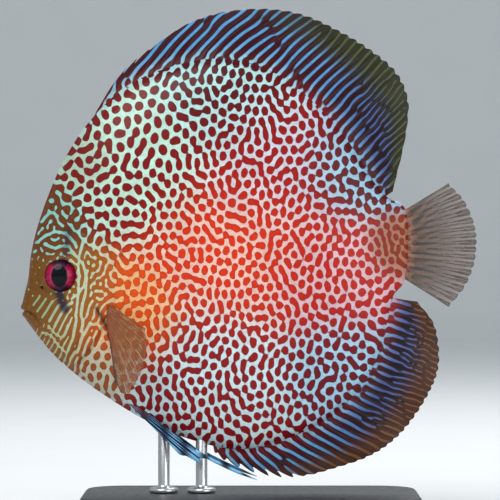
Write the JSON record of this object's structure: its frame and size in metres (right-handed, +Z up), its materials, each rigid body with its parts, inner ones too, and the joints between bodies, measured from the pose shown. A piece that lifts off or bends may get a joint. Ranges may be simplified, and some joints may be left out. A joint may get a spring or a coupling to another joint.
{
  "type": "discus fish model on a display stand",
  "caption": "Still, life-size model of a discus: tall disc-shaped body, long ray fins, small tail, held over a flat base by two short rods.",
  "frame": {"origin": "middle of the stand, on its underside", "axes": "+Z up; the fish's head points to -X and its left side faces -Y"},
  "size_m": [0.1579, 0.064, 0.177],
  "materials": {
    "skin": "wet skin with fine scales: red spots on a pale blue-white ground",
    "eye": "clear and wet, crimson iris round a black pupil",
    "long_fin": "satin membrane with raised rays, sky blue with maroon stripes",
    "clear_fin": "thin, part clear membrane with raised rays",
    "stand_base": "plain dark satin",
    "stand_rod": "brushed"
  },
  "bodies": {
    "root": {"head": "skin", "lower_jaw": "skin", "gill_cover_left": "skin", "gill_cover_right": "skin", "trunk": "skin", "tail_stalk": "skin", "eye_left": "eye", "eye_right": "eye", "dorsal_fin": "long_fin", "anal_fin": "long_fin", "pelvic_fin_left": "long_fin", "pelvic_fin_right": "long_fin", "caudal_fin": "clear_fin", "pectoral_fin_left": "clear_fin", "pectoral_fin_right": "clear_fin", "stand_base": "stand_base", "stand_rod_front": "stand_rod", "stand_rod_rear": "stand_rod"}
  },
  "joints": []
}
